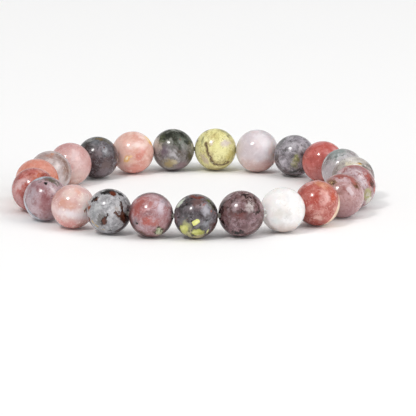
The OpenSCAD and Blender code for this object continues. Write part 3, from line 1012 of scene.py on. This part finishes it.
def grey_mauve(name):
    s = Stone(name, "#ac9197")
    s.cloud("#bba7ad", 2, .46, .6, .75)
    s.mottle("#8b6267", "#c6b9be", 4.4, .45)
    s.threads("#d3c6cb", 2.6, .01, .45)
    s.spot("#a66d70", .02, -.3, .34, 1.3, 80, .8, .7)
    s.spot("#8d4f53", .04, .1, .16, 1.9, 75)
    s.spot("#8f595e", -.3, .48, .13, 1.8, 30, .75, .7, .9)
    s.spot("#ab9ea5", -.62, .24, .13, 2.2, 70, .78, .5)
    s.spot("#cbb0b4", .28, .28, .12, 1.7, 40, .75, .6)
    s.spot("#8b6166", -.56, .62, .09, 2.4, 42, .75, .4)
    s.spot("#c9b4ba", -.4, -.6, .16, 1.8, -35, .8, .6, .9)
    # Painted reflection of the window: a pale slanted streak
    s.spot("#dacfd4", .33, .44, .07, 3, -52, .8, .5, .7)
    s.specks("#874b4e", 6, .42, .22, .6, ragged=.4)
    centre = s.zone(.15, .05, 1, .8, .98, .6)
    s.specks("#74363a", 7, .5, .55, .75, ragged=.5, where=centre)
    s.specks("#cbb0b4", 8, .45, .35, .6, ragged=.5, where=centre)
    s.side("#bcbecb", -.7, -.55, -.45, .565, .59, .98, .08)
    # Partly the stone's dark rim, partly painted shade and reflection of the neighbours on the left rim
    s.vein("#4b6264", RIM_OF_GREY_MAUVE, .035, .9, .2, .5)
    s.side("#6a6a6f", -.1, 1, -.05, .76, .9, .9, .4)
    s.spot("#4a4732", .24, .82, .08, 3.6, -14, .9, .4, .6)
    s.spot("#0e1513", .03, .69, .05, 1.7, 10, .99, .25, .3)
    s.spot("#4b524c", -.22, .72, .03, 3.4, 24, .8, .4, .5)
    s.spot("#6b6257", .58, .67, .06, 2.6, -40, .9, .5, .6)
    # Pale arc on the top rim, partly the stone's, partly a painted reflection
    s.spot("#bcc0ca", -.26, .9, .045, 6, 16, .9, .2, .6)
    # Pale blue lower-left rim partly a painted reflection; darker bottom edge partly painted shade
    s.side("#c8cad2", -.5, -.9, -.1, .85, .91, .93, .15)
    s.side("#46595a", -.1, -1, -.2, .975, .99, .4, .12)
    s.threads("#6a5f62", 3.6, .012, .6, where=s.zone(.45, .55, .7, .86, .97))
    s.back("#5a563c", .2, .4, .2, 2, 30, .8, .9, .7)
    s.back("#6a6a6f", .5, .55, .12, 2.4, -40, .5, .7)
    s.streaks("#8a585b", 60, 3.4, 2.4, .55, .64, .55)
    s.grain(.07)
    s.finish(clear=.15, depth=.001, swell=.004)


def brick_red(name):
    s = Stone(name, "#aa554d")
    s.cloud("#bb6d66", 2.2, .48, .59, .75)
    s.cloud("#84372e", 2.4, .54, .64, .75)
    s.spot("#dcc1c2", -.62, .2, .13, 2.2, 42, .85, .6)
    s.spot("#d8b2b2", -.4, .42, .09, 3.4, 15, .85, .4)
    s.spot("#863a31", -.25, -.45, .24, 1.7, 20, .7, .5)
    s.spot("#bd6848", .18, .64, .13, 2, 20, .8, .7)
    s.spot("#81352b", .54, .62, .09, 2.4, -35, .8, .6, .7)
    s.spot("#7b2c24", -.08, -.1, .12, 2.2, 60, .8, .7, .7)
    s.spot("#d6a78c", .3, .44, .09, 2.4, 20, .85, .5, .7)
    s.spot("#c39496", -.66, -.46, .16, 2.2, -60, .85, .4, .7)
    s.spot("#cf958a", .3, .86, .06, 2.8, -20, .75, .4, .7)
    s.spot("#8c3a31", -.24, 0, .12, 1.8, 60, .8, .6)
    s.spot("#8f4d4a", -.83, .38, .09, 2.6, 62, .9, .4, .7)
    s.spot("#cf8f84", -.12, .6, .1, 1.8, 10, .7, .6)
    # Pale top rim, partly the stone's, partly a painted reflection
    s.side("#c99da1", .1, 1, -.1, .95, 1, .75, .15)
    s.streaks("#dbb2ae", 30, 3, 2.6, .57, .66, .5)
    s.mottle("#762d26", "#d3a19c", 4.6, .32)
    s.threads("#d9aeaa", 2.6, .01, .5)
    s.grain(.05, 13)
    s.finish(clear=.25, depth=.001)


def salmon_orange(name):
    s = Stone(name, "#d08b79")
    s.cloud("#d89e8f", 2, .46, .6, .75)
    s.cloud("#bf705e", 2.6, .54, .66, .55)
    s.side("#d07050", 1, .1, .1, .66, 1, .75, .6)
    s.side("#d9aba4", -.2, 1, -.1, .9, 1, .8, .15)
    s.streaks("#e4b8ac", 40, 3, 2.2, .56, .68, .5)
    s.threads("#e6bcb1", 2.6, .01, .45)
    s.mottle("#ad5d4a", "#e0ac9e", 4.8, .15)
    s.grain(.04, 13)
    s.finish(clear=.35, depth=.001)


def taupe(name):
    s = Stone(name, "#a99693")
    s.cloud("#c0b2b1", 1.8, .46, .6, .8)
    s.spot("#94705f", .72, .02, .11, 2.6, 80, .85, .5)
    s.spot("#b9744c", .12, .86, .04, 2.4, 8, .85, .4, .7)
    s.spot("#a57462", -.02, .78, .08, 2.2, 0, .8, .4)
    # Partly the stone's pale tone, partly a painted reflection of the window
    s.spot("#e4dcdb", .32, .22, .15, 1.6, 68, .88, .4, .7)
    s.spot("#dcd2d2", .48, -.36, .2, 1.7, 75, .8, .4)
    s.spot("#d6caca", -.06, .46, .13, 1.6, 30, .7, .6)
    # Partly the stone's brown, partly painted shade and reflection of the neighbours along the right rim
    s.vein("#7c5849", RIM_OF_TAUPE, .125, .85, .25, .9)
    s.side("#8f8785", 1, .2, 0, .93, 1, .8)
    s.mottle("#8c7873", "#d3c8c6", 4.2, .22)
    s.threads("#d8cfce", 2.6, .01, .5)
    s.specks("#e2d9d7", 8, .3, .16, .5)
    s.grain(.05)
    s.finish(clear=.2)


STONES = [
    clear_pink, charcoal, cloudy_salmon, dark_green_grey, lime_yellow, pale_lilac, grey_purple, coral_red,
    pale_grey_green, dark_olive, banded_mauve, dusty_rose, coral_cream, milky_white, plum, charcoal_lime,
    brick_mauve, granite_grey, pale_peach, grey_mauve, brick_red, salmon_orange, taupe,
]


def dress_cord():
    """Grey threads, with a painted glow beside the milky stone."""
    material = bpy.data.materials.new("stretch_cord")
    material.use_nodes = True
    tree = material.node_tree
    place = add(tree, "TexCoord").outputs["Object"]
    fibres = add(tree, "TexNoise", Vector=place, Scale=CORD_FIBRE_SCALE).outputs[0]
    ramp = add(tree, "ValToRGB")
    feed(tree, ramp.inputs[0], fibres)
    ramp.color_ramp.elements[0].color = linear(CORD_DARK)
    ramp.color_ramp.elements[1].color = linear(CORD_LIGHT)
    bump = add(tree, "Bump", Height=fibres, Distance=CORD_RELIEF)
    milky = middle(STONES.index(milky_white) + 1)
    away = work_out(tree, "VectorMath", "DISTANCE", place, milky).outputs["Value"]
    # Painted glow on the cord near the milky stone
    glow = add(
        tree, "MapRange", Value=away, From_Min=CORD_GLOW_END, From_Max=CORD_GLOW_START,
        To_Max=CORD_GLOW)
    feed_all(
        tree, tree.nodes["Principled BSDF"], Base_Color=ramp.outputs[0], Normal=bump.outputs[0],
        Roughness=CORD_ROUGHNESS, Emission_Strength=glow.outputs[0])
    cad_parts["elastic_cord"].material_slots[0].material = material


def make_floor():
    mesh = bpy.data.meshes.new("floor")
    shape = bmesh.new()
    shape.faces.new([shape.verts.new((x * FLOOR_HALF, y * FLOOR_HALF, 0)) for x, y in CORNERS])
    shape.to_mesh(mesh)
    shape.free()
    floor = bpy.data.objects.new("floor", mesh)
    bpy.context.scene.collection.objects.link(floor)
    material = bpy.data.materials.new("floor_white")
    material.use_nodes = True
    feed_all(
        material.node_tree, material.node_tree.nodes["Principled BSDF"], Base_Color=FLOOR_TONE,
        Roughness=FLOOR_ROUGHNESS, Specular_IOR_Level=FLOOR_SPECULAR)
    mesh.materials.append(material)


def make_lamp(name, direction, distance, size, power, colour=WHITE):
    """An area lamp that the camera doesn't see."""
    data = bpy.data.lights.new(name, "AREA")
    data.shape = "RECTANGLE" if size[0] != size[1] else "DISK"
    data.size, data.size_y = size
    data.energy = power
    data.color = linear(colour)[:3]
    lamp = bpy.data.objects.new(name, data)
    lamp.location = MIDDLE + direction.normalized() * distance
    lamp.rotation_euler = direction.to_track_quat("Z", "Y").to_euler()
    lamp.visible_camera = False
    bpy.context.scene.collection.objects.link(lamp)
    return lamp


def make_surroundings():
    """A pale room, a little brighter in front and darker overhead."""
    world = bpy.data.worlds.new("studio")
    bpy.context.scene.world = world
    world.use_nodes = True
    tree = world.node_tree
    smooth = {"interpolation_type": "SMOOTHSTEP"}
    place = add(tree, "TexCoord").outputs["Generated"]
    parts = add(tree, "SeparateXYZ", Vector=place).outputs
    level = add(
        tree, "MapRange", smooth, Value=parts["Y"], From_Min=-FRONT_BACK_REACH,
        From_Max=FRONT_BACK_REACH, To_Min=FRONT_LIGHT, To_Max=BACK_LIGHT)
    top = add(
        tree, "MapRange", smooth, Value=parts["Z"], From_Min=TOP_START, From_Max=TOP_END,
        To_Min=1.0, To_Max=TOP_SHARE)
    both = work_out(tree, "Math", "MULTIPLY", level.outputs[0], top.outputs[0])
    feed_all(tree, tree.nodes["Background"], Color=linear(WHITE), Strength=both.outputs[0])


def make_lamps():
    """A lamp with a bright core at the left, a window at the right and a fill from above."""
    lamp = in_view(*LAMP_FROM)
    make_lamp("lamp", lamp, LAMP_DISTANCE, LAMP_SIZE, LAMP_POWER, LAMP_TONE)
    core = make_lamp("lamp_core", lamp, LAMP_DISTANCE, LAMP_CORE, LAMP_CORE_POWER)
    core.visible_diffuse = False
    softbox = in_view(*SOFTBOX_FROM)
    make_lamp("softbox", softbox, SOFTBOX_DISTANCE, SOFTBOX_SIZE, SOFTBOX_POWER)
    make_lamp("softbox_edge", softbox, SOFTBOX_DISTANCE, SOFTBOX_EDGE, SOFTBOX_EDGE_POWER)
    fill = make_lamp("fill", Vector((0, 0, 1)), FILL_HEIGHT, FILL_SIZE, FILL_POWER)
    fill.visible_glossy = False


def make_camera():
    data = bpy.data.cameras.new("camera")
    data.sensor_width = SENSOR_WIDTH
    data.lens = CAMERA_LENS
    data.clip_start = CLIP_START
    data.clip_end = CLIP_END
    camera = bpy.data.objects.new("camera", data)
    camera.location = MIDDLE + NEAR * CAMERA_DISTANCE
    aim = MIDDLE + RIGHT * LOOK_PAST[0] + UP * LOOK_PAST[1]
    camera.rotation_euler = (aim - camera.location).to_track_quat("-Z", "Y").to_euler()
    bpy.context.scene.collection.objects.link(camera)
    bpy.context.scene.camera = camera
    bpy.context.scene.view_settings.view_transform = "Standard"


make_camera()
for number, paint in enumerate(STONES, start=1):
    paint(f"bead_{number:02d}")
dress_cord()
make_floor()
make_surroundings()
make_lamps()
